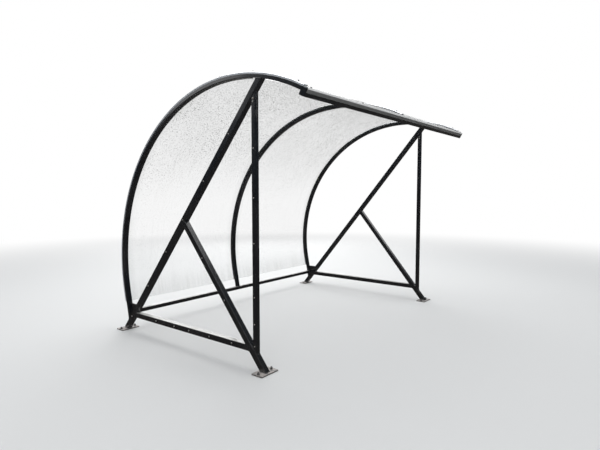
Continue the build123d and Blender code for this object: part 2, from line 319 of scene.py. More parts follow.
@dataclass(frozen=True)
class BlackPaint:
    """Semi-gloss black paint, lighter on top from dust and a painted sky reflection, splashed near
    the floor, chipped here and there.
    """

    colour: Colour = (0.0042, 0.0052, 0.0076)
    faded: Colour = (0.0085, 0.0095, 0.0120)
    # The dust colour is also the colour of the painted sky reflection on top faces.
    dust: Colour = (0.46, 0.45, 0.42)
    soil: Colour = (0.16, 0.125, 0.085)
    bare: Colour = (0.33, 0.32, 0.30)
    cloud_grain: Grain = Grain(5.0, 6.0)
    dirt_grain: Grain = Grain(75.0, 6.0, 0.75)
    fine_grain: Grain = Grain(260.0, 3.0, 0.7)
    streak_stretch: Triple = (55.0, 55.0, 3.0)
    streak_grain: Grain = Grain(1.0, 3.0)
    fading: Span = Span(0.35, 0.75)
    lying: Span = Span(0.80, 0.98)
    dusty_height: Span = Span(0.45, 0.12)
    # How much the top faces are lightened everywhere: partly dust, partly a painted reflection of
    # the sky on them.
    top_dust_and_sheen: Amount = Amount(0.10, 0.35)
    dust_low: float = 0.55
    dust_mottle: Amount = Amount(0.6, 0.5)
    dust_fine: Amount = Amount(0.7, 0.5)
    film_streaks: Span = Span(0.52, 0.80)
    film_patches: Span = Span(0.35, 0.7)
    film_share: float = 0.05
    splash_height: Span = Span(0.36, 0.0)
    splash_spots: Span = Span(0.52, 0.80)
    splash_amount: Amount = Amount(0.03, 0.35)
    splash_fine: Amount = Amount(0.3, 0.8)
    chip_grain: Grain = Grain(130.0, 2.0)
    chip_edge: Span = Span(0.735, 0.76)
    chipped_grain: Grain = Grain(9.0, 3.0)
    chipped_patches: Span = Span(0.50, 0.66)
    rough: Amount = Amount(0.15, 0.12)
    rough_splash: float = 0.35
    rough_dust: float = 0.45
    rough_chips: float = 0.12
    skin_share: float = 0.5
    chip_sink: float = 0.8
    relief: Relief = Relief(0.0003, 0.25)
    gloss: float = 0.85
    coat_roughness: float = 0.08

    def build(self) -> bpy.types.Material:
        """Build the material.

        Returns:
            The material.
        """
        r = Recipe("black_paint_weathered")
        at = r.place()
        height = r.axis(at, "Z")
        clouds = r.noise(at, self.cloud_grain)
        grain = r.noise(at, self.dirt_grain)
        fine = r.noise(at, self.fine_grain)
        streaks = r.noise(r.place(self.streak_stretch), self.streak_grain)
        low = self.dust_low * height.ramp(self.dusty_height)
        # Top faces are lightened towards the dust colour, partly by dust and partly as a painted
        # reflection of the sky; more near the floor.
        dusting = r.facing("Z").ramp(self.lying) * (self.top_dust_and_sheen.at(clouds) + low)
        dusting = dusting * self.dust_mottle.at(grain) * self.dust_fine.at(fine)
        film = streaks.ramp(self.film_streaks) * clouds.ramp(self.film_patches) * self.film_share
        splash = self.splash_amount.at(grain.ramp(self.splash_spots))
        splash = height.ramp(self.splash_height) * splash * self.splash_fine.at(fine)
        chips = r.noise(at, self.chip_grain).ramp(self.chip_edge)
        chips = chips * r.noise(at, self.chipped_grain).ramp(self.chipped_patches)
        colour = r.blend(clouds.ramp(self.fading), self.colour, self.faded)
        colour = r.blend(film, colour, self.dust)
        colour = r.blend(splash, colour, self.soil)
        colour = r.blend(dusting, colour, self.dust)
        colour = r.blend(chips, colour, self.bare)
        rough = self.rough.at(clouds) + self.rough_splash * splash
        rough = rough + self.rough_dust * dusting + self.rough_chips * chips
        skin = fine * self.skin_share + grain * self.skin_share - chips * self.chip_sink
        sockets = {
            "Base Color": colour,
            "Roughness": rough,
            "Specular IOR Level": self.gloss,
            "Coat Weight": (1 - splash) * (1 - dusting),
            "Coat Roughness": self.coat_roughness,
            "Normal": r.bumped(skin, self.relief),
        }
        return r.finish(r.surface(sockets))


@dataclass(frozen=True)
class PlateSteel:
    """Base plate: zinc coated steel under a film of cement dust, with soil along its edges."""

    metal: Colour = (0.15, 0.155, 0.155)
    dust: Colour = (0.52, 0.47, 0.44)
    soil: Colour = (0.10, 0.08, 0.055)
    rust: Colour = (0.20, 0.075, 0.028)
    cloud_grain: Grain = Grain(28.0, 6.0, 0.6)
    dirt_grain: Grain = Grain(210.0, 4.0, 0.7)
    lying: Span = Span(0.4, 0.9)
    dust_patches: Span = Span(0.36, 0.58)
    dust_share: float = 0.9
    soil_height: Span = Span(0.0075, 0.001)
    low_soil: float = 0.9
    soil_spots: Span = Span(0.60, 0.76)
    soil_share: float = 0.5
    rust_grain: Grain = Grain(70.0, 5.0)
    rust_spots: Span = Span(0.62, 0.72)
    rust_share: float = 0.7
    shine: float = 0.55
    rough: Amount = Amount(0.42, 0.35)
    cloud_relief: float = 0.6
    relief: Relief = Relief(0.0006, 0.5)

    def build(self) -> bpy.types.Material:
        """Build the material.

        Returns:
            The material.
        """
        r = Recipe("base_plate_zinc_dusty")
        at = r.place()
        clouds = r.noise(at, self.cloud_grain)
        grain = r.noise(at, self.dirt_grain)
        dusting = r.facing("Z").ramp(self.lying) * clouds.ramp(self.dust_patches) * self.dust_share
        low = r.axis(at, "Z").ramp(self.soil_height) * self.low_soil
        soil = low.larger(grain.ramp(self.soil_spots) * self.soil_share)
        rust = r.noise(at, self.rust_grain).ramp(self.rust_spots) * self.rust_share
        colour = r.blend(dusting, self.metal, self.dust)
        colour = r.blend(rust, colour, self.rust)
        sockets = {
            "Base Color": r.blend(soil, colour, self.soil),
            "Metallic": self.shine * (1 - dusting) * (1 - soil),
            "Roughness": self.rough.at(clouds),
            "Normal": r.bumped(grain + clouds * self.cloud_relief, self.relief),
        }
        return r.finish(r.surface(sockets))


@dataclass(frozen=True)
class ClearSheet:
    """Clear plastic sheet, hazed by dirt, spotted by rain, with streaks that run down its bend."""

    haze: Colour = (0.40, 0.41, 0.405)
    spot: Colour = (0.20, 0.20, 0.19)
    algae: Colour = (0.20, 0.23, 0.10)
    # The colour of the cut edges, a painted sheen of sky light on them.
    edge: Colour = (0.50, 0.53, 0.56)
    roof_height: Span = Span(1.2, 2.1)
    cloud_grain: Grain = Grain(2.2, 5.0, 0.6)
    patch_grain: Grain = Grain(0.9, 3.0, 0.5)
    patch_edge: Span = Span(0.40, 0.62)
    dirt_grain: Grain = Grain(85.0, 3.0, 0.7)
    run_stretch: Triple = (38.0, 1.6, 1.6)
    run_grain: Grain = Grain(1.0, 4.0, 0.6)
    drops: Dots = Dots(38.0, 0.28, 0.5)
    fine_drops: Dots = Dots(68.0, 0.36, 0.6)
    hoop_places: Triple = (-1.5, 0.0, 1.5)
    beside_hoop: Span = Span(0.13, 0.03)
    low_height: Span = Span(0.55, 0.29)
    edge_facing: Span = Span(0.6, 0.9)
    back_cover: float = 0.045
    roof_cover: float = 0.085
    cloud_base: float = 0.4
    run_spots: Span = Span(0.52, 0.78)
    run_cover: Amount = Amount(0.020, 0.045)
    dirt_spots: Span = Span(0.45, 0.75)
    dirt_cover: Amount = Amount(0.02, 0.06)
    hoop_cover: float = 0.10
    low_cover: float = 0.14
    drop_cover: Amount = Amount(0.16, 0.62)
    fine_cover: Amount = Amount(0.11, 0.80)
    drop_patches: Amount = Amount(0.6, 0.6)
    edge_cover: float = 0.93
    algae_clouds: Span = Span(0.45, 0.65)
    hoop_algae: float = 0.7
    algae_runs: Span = Span(0.5, 0.75)
    low_algae: float = 0.6
    spot_strength: float = 2.0
    mirror_index: float = 1.45
    mirror_share: float = 0.40
    smooth: float = 0.06
    rough_share: float = 0.6
    index: float = 1.5
    dirt_relief: float = 0.4
    relief: Relief = Relief(0.0003, 0.4)

    def build(self) -> bpy.types.Material:
        """Build the material.

        Returns:
            The material.
        """
        r = Recipe("clear_sheet_weathered")
        at = r.place()
        x, height = r.axis(at, "X"), r.axis(at, "Z")
        roof = height.ramp(self.roof_height)
        clouds = r.noise(at, self.cloud_grain)
        patches = r.noise(at, self.patch_grain).ramp(self.patch_edge)
        grain = r.noise(at, self.dirt_grain)
        runs = r.noise(r.place(self.run_stretch), self.run_grain)
        drops, fine = r.spots(at, self.drops), r.spots(at, self.fine_drops)
        first, second, third = ((x - p).size().ramp(self.beside_hoop) for p in self.hoop_places)
        beside = third.larger(second.larger(first))
        low = height.ramp(self.low_height)
        side = r.facing("X").size().ramp(self.edge_facing)
        cover = self.back_cover + roof * self.roof_cover * (self.cloud_base + clouds)
        cover = cover + runs.ramp(self.run_spots) * self.run_cover.at(roof)
        cover = cover + grain.ramp(self.dirt_spots) * self.dirt_cover.at(roof)
        cover = cover + beside * clouds * self.hoop_cover + low * runs * self.low_cover
        marks = (drops * self.drop_cover.at(roof)).larger(fine * self.fine_cover.at(roof))
        marks = marks * self.drop_patches.at(patches)
        beside_green = beside * clouds.ramp(self.algae_clouds) * self.hoop_algae
        green = beside_green.larger(low * runs.ramp(self.algae_runs) * self.low_algae)
        fresnel = r.node("ShaderNodeFresnel", {}, {"IOR": self.mirror_index})
        entering = 1 - r.node("ShaderNodeNewGeometry", output="Backfacing")
        # The cut edges that face along the shelter are made nearly opaque and bluish grey, a
        # painted sheen of sky light on them.
        alpha = cover.larger(marks).larger(side * self.edge_cover)
        colour = r.blend(marks * self.spot_strength, self.haze, self.spot)
        colour = r.blend(green, colour, self.algae)
        sockets = {
            "Base Color": r.blend(side, colour, self.edge),
            "Alpha": alpha + (1 - alpha) * fresnel * entering * self.mirror_share,
            "Roughness": self.smooth + self.rough_share * cover + self.rough_share * marks,
            "IOR": self.index,
            "Normal": r.bumped(drops + grain * self.dirt_relief, self.relief),
        }
        return r.finish(r.surface(sockets))


@dataclass(frozen=True)
class MillAluminium:
    """Extruded aluminium, dulled outdoors, with fine lines along its length, dirt on it and, where
    given a height, a painted highlight.
    """

    name: str = "mill_aluminium"
    metal: Colour = (0.86, 0.88, 0.92)
    dull: Colour = (0.68, 0.70, 0.74)
    dirt: Colour = (0.14, 0.13, 0.11)
    across: Triple = (900.0, 4.0, 4.0)
    shine: float = 0.88
    dirt_share: float = 0.5
    line_grain: Grain = Grain(1.0, 3.0, 0.6)
    cloud_grain: Grain = Grain(11.0, 6.0, 0.6)
    dirt_grain: Grain = Grain(95.0, 4.0, 0.65)
    dulling: Span = Span(0.3, 0.7)
    dirt_patches: Span = Span(0.50, 0.74)
    dirt_spots: Span = Span(0.40, 0.66)
    rough: Amount = Amount(0.30, 0.18)
    rough_dirt: float = 0.30
    rough_lines: float = 0.06
    line_relief: float = 0.7
    dirt_relief: float = 0.5
    relief: Relief = Relief(0.0002, 0.5)
    # The fields below paint a highlight: a pale line along the top of the front face, where its
    # edge catches the light.
    lip: Colour = (0.86, 0.86, 0.85)
    highlight_height: Optional[float] = None
    highlight_edge: float = 0.0015
    highlight_facing: Span = Span(0.60, 0.85)
    highlight_dulling: float = 0.8

    def build(self) -> bpy.types.Material:
        """Build the material.

        Returns:
            The material.
        """
        r = Recipe(self.name)
        at = r.place()
        lines = r.noise(r.place(self.across), self.line_grain)
        clouds = r.noise(at, self.cloud_grain)
        grain = r.noise(at, self.dirt_grain)
        dirt = clouds.ramp(self.dirt_patches) * grain.ramp(self.dirt_spots) * self.dirt_share
        colour = r.blend(clouds.ramp(self.dulling), self.metal, self.dull)
        colour = r.blend(dirt, colour, self.dirt)
        metallic = self.shine * (1 - dirt)
        # Above the given height the front face gets a painted highlight, a pale line with less
        # metal, where its top edge catches the light.
        if self.highlight_height is not None:
            highlight_span = Span(self.highlight_height, self.highlight_height + self.highlight_edge)
            front = (0 - r.facing("Y")).ramp(self.highlight_facing)
            painted_highlight = r.axis(at, "Z").ramp(highlight_span) * front
            colour = r.blend(painted_highlight, colour, self.lip)
            metallic = metallic * (1 - self.highlight_dulling * painted_highlight)
        rough = self.rough.at(clouds) + self.rough_dirt * dirt + self.rough_lines * lines
        skin = lines * self.line_relief + grain * self.dirt_relief
        sockets = {
            "Base Color": colour,
            "Metallic": metallic,
            "Roughness": rough,
            "Normal": r.bumped(skin, self.relief),
        }
        return r.finish(r.surface(sockets))


@dataclass(frozen=True)
class ZincFixing:
    """Zinc plated steel of bolts and screws, going dull, with some rust."""

    name: str = "zinc_fixing"
    metal: Colour = (0.62, 0.61, 0.58)
    rust: Colour = (0.24, 0.09, 0.03)
    cloud_grain: Grain = Grain(160.0, 4.0, 0.6)
    patch_grain: Grain = Grain(31.0, 3.0)
    rust_spots: Span = Span(0.55, 0.68)
    rust_patches: Span = Span(0.48, 0.62)
    rust_share: float = 0.85
    shine: float = 0.9
    rough: Amount = Amount(0.30, 0.25)
    rough_rust: float = 0.3
    relief: Relief = Relief(0.0002, 0.4)

    def build(self) -> bpy.types.Material:
        """Build the material.

        Returns:
            The material.
        """
        r = Recipe(self.name)
        at = r.place()
        clouds = r.noise(at, self.cloud_grain)
        patches = r.noise(at, self.patch_grain).ramp(self.rust_patches)
        rust = clouds.ramp(self.rust_spots) * patches * self.rust_share
        sockets = {
            "Base Color": r.blend(rust, self.metal, self.rust),
            "Metallic": self.shine * (1 - rust),
            "Roughness": self.rough.at(clouds) + self.rough_rust * rust,
            "Normal": r.bumped(clouds, self.relief),
        }
        return r.finish(r.surface(sockets))


@dataclass(frozen=True)
class SealRubber:
    """Black rubber seal, greyed by weather."""

    colour: Colour = (0.018, 0.018, 0.018)
    grey: Colour = (0.075, 0.075, 0.072)
    cloud_grain: Grain = Grain(22.0, 5.0)
    fine_grain: Grain = Grain(240.0, 3.0)
    greying: Span = Span(0.4, 0.7)
    rough: Amount = Amount(0.62, 0.2)
    gloss: float = 0.3
    relief: Relief = Relief(0.0002, 0.5)

    def build(self) -> bpy.types.Material:
        """Build the material.

        Returns:
            The material.
        """
        r = Recipe("seal_rubber")
        at = r.place()
        clouds = r.noise(at, self.cloud_grain)
        sockets = {
            "Base Color": r.blend(clouds.ramp(self.greying), self.colour, self.grey),
            "Roughness": self.rough.at(clouds),
            "Specular IOR Level": self.gloss,
            "Normal": r.bumped(r.noise(at, self.fine_grain), self.relief),
        }
        return r.finish(r.surface(sockets))


@dataclass(frozen=True)
class PaleFloor:
    """Plain pale floor that fades into the white background away from the shelter."""

    colour: Colour = (0.74, 0.74, 0.73)
    fade: Span = Span(4.5, 11.5)
    cloud_grain: Grain = Grain(3.0, 4.0)
    rough: Amount = Amount(0.85, 0.08)
    gloss: float = 0.2

    def build(self) -> bpy.types.Material:
        """Build the material.

        Returns:
            The material.
        """
        r = Recipe("pale_floor")
        at = r.place()
        x, y = r.axis(at, "X"), r.axis(at, "Y")
        fade = ((x * x + y * y) ** 0.5).ramp(self.fade)
        sockets = {
            "Base Color": (*self.colour, 1.0),
            "Roughness": self.rough.at(r.noise(at, self.cloud_grain)),
            "Specular IOR Level": self.gloss,
        }
        white = r.node("ShaderNodeEmission", {}, {"Color": (*WHITE, 1.0), "Strength": 1.0})
        return r.finish(
            r.node("ShaderNodeMixShader", {}, {0: fade, 1: r.surface(sockets), 2: white})
        )


class Finish(Enum):
    """The finishes of the shelter and its stage."""

    PAINT = BlackPaint()
    PLATE = PlateSteel()
    SHEET = ClearSheet()
    STRIP = MillAluminium()
    # The angle's metal and dull colours, darker than the strip's, are painted shade for a face
    # that stands in shadow; its larger dirt share adds dirt and more of that shade.
    ANGLE = MillAluminium(
        name="mill_aluminium_angle",
        metal=(0.50, 0.51, 0.52),
        dull=(0.36, 0.37, 0.37),
        across=(4.0, 900.0, 900.0),
        shine=0.82,
        dirt_share=0.75,
        highlight_height=2.0770,
    )
    ZINC = ZincFixing()
    GRIMY_ZINC = ZincFixing("grimy_zinc_fixing", (0.17, 0.17, 0.17), (0.14, 0.055, 0.02))
    SEAL = SealRubber()
    FLOOR = PaleFloor()


class Paintbox:
    """Builds each finish once and hands it out."""

    def __init__(self) -> None:
        """Start with no finish built."""
        self._built: dict[Finish, bpy.types.Material] = {}

    def get(self, finish: Finish) -> bpy.types.Material:
        """Return the material of a finish, built on first use."""
        if finish not in self._built:
            self._built[finish] = finish.value.build()
        return self._built[finish]


def round_points(sides: int, radius: float, up: float = 0.0) -> list[Vector]:
    """Return the points of a regular ring about the Z axis.

    Args:
        sides: Number of points.
        radius: Distance from the axis.
        up: Height above the axis's foot.

    Returns:
        The points.
    """
    turns = [2 * math.pi * k / sides for k in range(sides)]
    return [Vector((radius * math.cos(t), radius * math.sin(t), up)) for t in turns]


class Turned(NamedTuple):
    """A turned shape: (radius, height) pairs from the bottom up, and its number of sides."""

    profile: Profile
    sides: int


class Solid:
    """Collects vertices and faces for one mesh."""

    def __init__(self) -> None:
        """Start empty."""
        self.points: list[Vector] = []
        self.faces: list[tuple[int, ...]] = []

    def run(self, rings: Sequence[Sequence[Vector]], closed: bool = False) -> None:
        """Add a skin through rings of points.

        Args:
            rings: Rings with the same number of points.
            closed: True joins the last ring to the first, False caps both ends.
        """
        base, count, size = len(self.points), len(rings), len(rings[0])
        self.points.extend(point for ring in rings for point in ring)
        for i in range(count if closed else count - 1):
            low, high = base + i * size, base + (i + 1) % count * size
            for k in range(size):
                after = (k + 1) % size
                self.faces.append((low + k, low + after, high + after, high + k))
        if not closed:
            top = base + (count - 1) * size
            self.faces.append(tuple(range(base + size - 1, base - 1, -1)))
            self.faces.append(tuple(range(top, top + size)))

    def turn(self, shape: Turned, place: Matrix) -> None:
        """Add a turned shape, closed at both ends.

        Args:
            shape: The shape.
            place: Where its axis stands, as a matrix whose Z is the axis.
        """
        rings = (round_points(shape.sides, radius, up) for radius, up in shape.profile)
        self.run([[place @ point for point in ring] for ring in rings])

    def make(
        self, name: str, material: bpy.types.Material, crease: float = SOFT_EDGE
    ) -> None:
        """Make the object, which rides on the shelter's one body.

        Args:
            name: The piece's name.
            material: Its material.
            crease: Angle in degrees above which an edge stays sharp.
        """
        mesh = bpy.data.meshes.new(name)
        mesh.from_pydata(self.points, [], self.faces)
        mesh.validate()
        mesh.shade_smooth()
        mesh.set_sharp_from_angle(angle=math.radians(crease))
        mesh.materials.append(material)
        piece = bpy.data.objects.new(name, mesh)
        bpy.context.scene.collection.objects.link(piece)
        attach(piece, "root")
        log.info("%s: %d faces", name, len(mesh.polygons))


def standing(at: Vector, axis: Vector, spin: float = 0.0) -> Matrix:
    """Return the matrix of something that stands at a point along an axis.

    Args:
        at: The point.
        axis: The direction it points in.
        spin: Turn about that direction, in radians.

    Returns:
        The matrix.
    """
    turned = axis.to_track_quat("Z", "Y").to_matrix().to_4x4()
    return Matrix.Translation(at) @ turned @ Matrix.Rotation(spin, 4, "Z")


def direction(degrees: float) -> Vector:
    """Return the direction straight up, tipped forward by this angle."""
    a = math.radians(degrees)
    return Vector((0.0, -math.sin(a), math.cos(a)))


def middle(low: float, high: float) -> float:
    """Return the middle of two values."""
    return (low + high) / 2


class Frames(Enum):
    """Places of the three hoops along the shelter."""

    NEAR = -1.5
    MIDDLE = 0.0
    FAR = 1.5

    @property
    def word(self) -> str:
        """Return the name that this frame's pieces start with."""
        return self.name.lower()


END_FRAMES = (Frames.NEAR, Frames.FAR)


@dataclass
class ShelterLines:
    """Centre lines of the shelter's tubes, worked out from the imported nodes' boxes."""

    frame_tube: float = 0.050
    light_tube: float = 0.040
    hoop_width: float = 0.050
    hoop_depth: float = 0.030
    tube_corner: float = 0.004
    hoop_lean: float = 11.3
    hoop_foot_inset: float = 0.090
    bend_z: float = 0.700
    bend_radius: float = 1.570
    tip_angle: float = 27.5
    brace_angle: float = 49.903
    brace_heel: float = 0.015
    sheet: float = 0.005
    sheet_start: float = 0.290
    strip_height: float = 0.012
    strip_width: float = 0.050
    beam_depth: float = 0.050
    bend_back: float = field(init=False)
    sheet_outer: float = field(init=False)
    plate_top: float = field(init=False)
    foot_y: float = field(init=False)
    middle_y: float = field(init=False)
    bend_y: float = field(init=False)
    post_y: float = field(init=False)
    post_top: float = field(init=False)
    tie_z: float = field(init=False)

    def __post_init__(self) -> None:
        """Work out places from the boxes."""
        back_low, back_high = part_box("near_back_base_plate")
        front_low, front_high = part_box("near_front_base_plate")
        sheet_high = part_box("near_roof_sheet")[1]
        post_low, post_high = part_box("near_front_post")
        tie_low, tie_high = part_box("near_bottom_tie")
        back, front = middle(back_low[1], back_high[1]), middle(front_low[1], front_high[1])
        self.bend_back = -QUARTER_TURN - self.hoop_lean
        self.sheet_outer = self.bend_radius + self.hoop_depth / 2 + self.sheet
        self.plate_top = back_high[2]
        self.middle_y = (back + front) / 2
        self.foot_y = (back - front) / 2
        self.bend_y = sheet_high[1] - self.sheet_outer
        self.post_y = middle(post_low[1], post_high[1])
        self.post_top = post_high[2]
        self.tie_z = middle(tie_low[2], tie_high[2])

    def on_bend(self, x: float, radius: float, past_top: float) -> Vector:
        """Return a point on the bend.

        Args:
            x: Place along the shelter.
            radius: Distance from the bend's centre line.
            past_top: Degrees forward from the highest point, negative towards the back.

        Returns:
            The point.
        """
        a = math.radians(past_top)
        return Vector((x, self.bend_y - radius * math.sin(a), self.bend_z + radius * math.cos(a)))

    def on_hoop_leg(self, x: float, offset: float, along: float) -> Vector:
        """Return a point on the hoop's straight leg.

        Args:
            x: Place along the shelter.
            offset: Distance outside the hoop's centre line.
            along: Distance up the leg from the floor.

        Returns:
            The point.
        """
        a = math.radians(self.hoop_lean)
        y = self.middle_y + self.foot_y - self.hoop_foot_inset
        y = y + along * math.sin(a) + offset * math.cos(a)
        return Vector((x, y, along * math.cos(a) - offset * math.sin(a)))

    def up_brace(self) -> Vector:
        """Return the direction up the diagonal brace."""
        a = math.radians(self.brace_angle)
        return Vector((0.0, -math.cos(a), math.sin(a)))

    def up_leg(self) -> Vector:
        """Return the direction up the front leg."""
        a = math.radians(self.brace_angle)
        return Vector((0.0, math.cos(a), math.sin(a)))

    def on_brace(self, x: float, along: float) -> Vector:
        """Return a point on the diagonal brace's centre line, measured up from its foot."""
        foot = Vector((x, self.middle_y + self.foot_y, self.plate_top))
        return foot + self.up_brace() * along

    def on_leg(self, x: float, along: float) -> Vector:
        """Return a point on the front leg's centre line, measured up from its foot."""
        foot = Vector((x, self.middle_y - self.foot_y, self.plate_top))
        return foot + self.up_leg() * along


@dataclass
class CarriedNodes:
    """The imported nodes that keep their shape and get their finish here."""

    finishes: dict[str, Finish] = field(
        default_factory=lambda: {
            "base_plate": Finish.PLATE,
            "roof_sheet": Finish.SHEET,
            "cover_strip": Finish.STRIP,
            "edge_angle": Finish.ANGLE,
        }
    )

    def dress(self, nodes: dict[str, bpy.types.Object], paints: Paintbox) -> None:
        """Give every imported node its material.

        Args:
            nodes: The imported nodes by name.
            paints: Where the materials come from.
        """
        for name, node in nodes.items():
            fitting = (f for ending, f in self.finishes.items() if name.endswith(ending))
            finish = next(fitting, Finish.PAINT)
            for place in node.material_slots:
                place.material = paints.get(finish)
            log.info("%s: %s", name, finish.name.lower())


@dataclass
class Addition:
    """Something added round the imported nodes, and what it is built with."""

    lines: ShelterLines
    paints: Paintbox


@dataclass
class AnchorBolts(Addition):
    """Studs, nuts and washers that hold the four base plates down."""

    spacing: float = 0.150
    washer: Turned = Turned(
        ((0.0125, 0.0), (0.0128, 0.0006), (0.0128, 0.0020), (0.0120, 0.0026)), 24
    )
    nut: Turned = Turned(
        ((0.0096, 0.0026), (0.0109, 0.0036), (0.0109, 0.0108), (0.0094, 0.0120)), 6
    )
    stud: Turned = Turned(((0.0060, 0.0026), (0.0060, 0.0186), (0.0048, 0.0200)), 16)
    tilt: float = 0.03
    seed: int = 4

    def build(self) -> None:
        """Build one object of bolts for each base plate."""
        turns = random.Random(self.seed)
        material = self.paints.get(Finish.GRIMY_ZINC)
        for place in END_FRAMES:
            for side, name in ((1, "back"), (-1, "front")):
                bolts = Solid()
                y = self.lines.middle_y + side * self.lines.foot_y
                for step in (-0.5, 0.5):
                    at = Vector((place.value + step * self.spacing, y, self.lines.plate_top))
                    tilts = [turns.uniform(-self.tilt, self.tilt) for _ in range(2)]
                    bolts.turn(self.washer, standing(at, UP))
                    bolts.turn(self.nut, standing(at, UP, turns.uniform(0, math.pi)))
                    bolts.turn(self.stud, standing(at, Vector((*tilts, 1.0))))
                bolts.make(f"{place.word}_{name}_anchor_bolts", material)


@dataclass
class PanelScrews(Addition):
    """Dome screws left along the end frames, where end panels can be fixed."""

    head: Turned = Turned(
        ((0.0062, 0.0), (0.0062, 0.0008), (0.0056, 0.0022), (0.0040, 0.0034), (0.0016, 0.0040)), 18
    )
    brace_places: Sequence[float] = (0.180, 0.630, 1.090, 1.482, 1.917, 2.396)
    leg_places: Sequence[float] = (0.652, 1.074)
    post_heights: Sequence[float] = (0.190, 0.364, 0.576, 0.993, 1.342, 1.715)
    tie_places: Sequence[float] = (0.425, 0.149, -0.061, -0.333, -0.606)

    def places(self, x: float, out: Vector) -> list[Vector]:
        """Return the screws' places on the outer side of the frame at x.

        Args:
            x: Place along the shelter.
            out: Direction away from the shelter's middle.

        Returns:
            The places.
        """
        lines = self.lines
        frame_side, light_side = out * lines.frame_tube / 2, out * lines.light_tube / 2
        found = [lines.on_brace(x, along) + frame_side for along in self.brace_places]
        found += [lines.on_leg(x, along) + frame_side for along in self.leg_places]
        found += [Vector((x, lines.post_y, z)) + light_side for z in self.post_heights]
        ties = (Vector((x, lines.middle_y + y, lines.tie_z)) for y in self.tie_places)
        return found + [at + frame_side for at in ties]

    def build(self) -> None:
        """Build the screws of both end frames, on their outer sides."""
        for place in END_FRAMES:
            out = Vector((math.copysign(1.0, place.value), 0.0, 0.0))
            screws = Solid()
            for at in self.places(place.value, out):
                screws.turn(self.head, standing(at, out))
            material = self.paints.get(Finish.ZINC)
            screws.make(f"{place.word}_panel_screws", material)


@dataclass
class TopBolts(Addition):
    """Two through bolts at the head of each front post, with a nut on the inner side."""

    drop: Sequence[float] = (0.054, 0.079)
    head: Turned = Turned(
        (
            (0.0086, 0.0),
            (0.0086, 0.0014),
            (0.0062, 0.0016),
            (0.0064, 0.0020),
            (0.0064, 0.0058),
            (0.0052, 0.0068),
        ),
        6,
    )
    turn_by_drop: float = 40.0

    def build(self) -> None:
        """Build the bolts of both end frames."""
        lines = self.lines
        for place in END_FRAMES:
            bolts = Solid()
            for drop in self.drop:
                for side in (-1.0, 1.0):
                    x = place.value + side * lines.light_tube / 2
                    at = Vector((x, lines.post_y, lines.post_top - drop))
                    bolts.turn(self.head, standing(at, ALONG * side, drop * self.turn_by_drop))
            material = self.paints.get(Finish.ZINC)
            bolts.make(f"{place.word}_post_bolts", material)


WASHER_HEAD = Turned(
    (
        (0.0085, 0.0),
        (0.0085, 0.0010),
        (0.0078, 0.0020),
        (0.0050, 0.0024),
        (0.0050, 0.0064),
        (0.0042, 0.0074),
    ),
    12,
)


@dataclass
class StripScrews(Addition):
    """Washer head screws that clamp the cover strips through the sheets to the hoops."""

    spacing: float = 0.365
    first: float = 0.241
    leg_place: float = 0.325
    tip_inset: float = 0.075
    head: Turned = WASHER_HEAD
    seed: int = 9

    def build(self) -> None:
        """Build the screws of each strip."""
        lines = self.lines
        crown = lines.sheet_outer + lines.strip_height
        last = int((self.first - math.radians(lines.bend_back) * crown) / self.spacing)
        arcs = [math.radians(lines.tip_angle) * crown - self.tip_inset]
        arcs += [self.first - k * self.spacing for k in range(last + 1)]
        turns = random.Random(self.seed)
        for place in Frames:
            screws = Solid()
            for angle in (math.degrees(arc / crown) for arc in arcs):
                at = lines.on_bend(place.value, crown, angle)
                screws.turn(self.head, standing(at, direction(angle), turns.uniform(0, 1)))
            at = lines.on_hoop_leg(place.value, crown - lines.bend_radius, self.leg_place)
            out = direction(lines.bend_back)
            screws.turn(self.head, standing(at, out, turns.uniform(0, 1)))
            material = self.paints.get(Finish.GRIMY_ZINC)
            screws.make(f"{place.word}_strip_screws", material)


@dataclass
class AngleScrews(Addition):
    """Screws through the top of the front angle into the beam."""

    places: Sequence[float] = (-1.480, -0.784, 0.784, 1.480)
    lap: float = 0.030
    thickness: float = 0.003
    head: Turned = WASHER_HEAD

    def build(self) -> None:
        """Build the screws."""
        lines = self.lines
        out = direction(lines.tip_angle)
        inset = Vector((0.0, -out.z, out.y)) * (lines.beam_depth - self.lap / 2)
        screws = Solid()
        for x in self.places:
            edge = lines.on_bend(x, lines.sheet_outer + self.thickness, lines.tip_angle)
            screws.turn(self.head, standing(edge + inset, out))
        screws.make("front_angle_screws", self.paints.get(Finish.GRIMY_ZINC))


@dataclass
class StripSeals(Addition):
    """Rubber seals that show as a thin line along both sides of each cover strip."""

    width: float = 0.0024
    height: float = 0.0020
    steps: int = 90

    def centre_pairs(self) -> list[tuple[Vector, Vector]]:
        """Follow a seal's middle along the sheet, from its foot to its tip.

        Returns:
            Its lowest and highest point at each step.
        """
        lines = self.lines
        base = lines.sheet_outer - lines.bend_radius
        lifts = (0.0, self.height)
        pairs = [tuple(lines.on_hoop_leg(0.0, base + up, lines.sheet_start) for up in lifts)]
        for step in range(self.steps + 1):
            angle = lines.bend_back + (lines.tip_angle - lines.bend_back) * step / self.steps
            pairs.append(tuple(lines.on_bend(0.0, lines.sheet_outer + up, angle) for up in lifts))
        return pairs

    def build(self) -> None:
        """Build the seals of each strip, on the sides where a sheet lies."""
        pairs = self.centre_pairs()
        for place, sides in ((Frames.NEAR, (1,)), (Frames.MIDDLE, (-1, 1)), (Frames.FAR, (-1,))):
            seals = Solid()
            for side in sides:
                inner = place.value + side * (self.lines.strip_width / 2 - self.width / 2)
                outer = place.value + side * (self.lines.strip_width / 2 + self.width / 2)
                seals.run([self._ring(inner, outer, low, high) for low, high in pairs])
            seals.make(f"{place.word}_strip_seals", self.paints.get(Finish.SEAL))

    @staticmethod
    def _ring(inner: float, outer: float, low: Vector, high: Vector) -> list[Vector]:
        """Return one ring of a seal's section."""
        corners_at = ((inner, low), (outer, low), (outer, high), (inner, high))
        return [Vector((x, p.y, p.z)) for x, p in corners_at]


